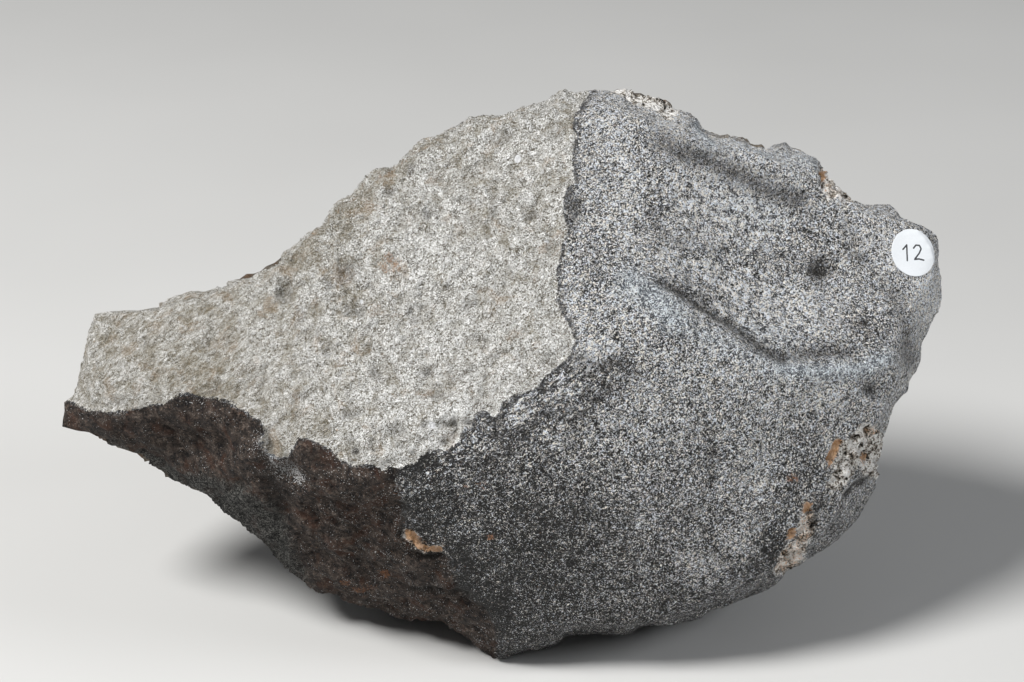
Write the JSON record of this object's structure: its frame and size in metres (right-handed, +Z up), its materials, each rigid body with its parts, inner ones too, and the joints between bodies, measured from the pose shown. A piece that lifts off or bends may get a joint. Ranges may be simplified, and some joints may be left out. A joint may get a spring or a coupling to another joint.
{
  "type": "chondrite meteorite",
  "caption": "Stony meteorite with a pale grainy broken face, a dark hollowed fusion crust and a small round paper dot; it rests on a small flat spot.",
  "frame": {"origin": "middle of the stone's box, at the level of the flat spot that it rests on", "axes": "+X along the stone's length, from its thin broken end to its crusted end; -Y the way its pale broken face looks, leant back; +Z up"},
  "size_m": [0.1462, 0.0704, 0.0888],
  "materials": {
    "stone": "rough",
    "paper": "matte"
  },
  "bodies": {
    "root": {"meteorite": "stone", "paper_label": "paper"}
  },
  "joints": []
}
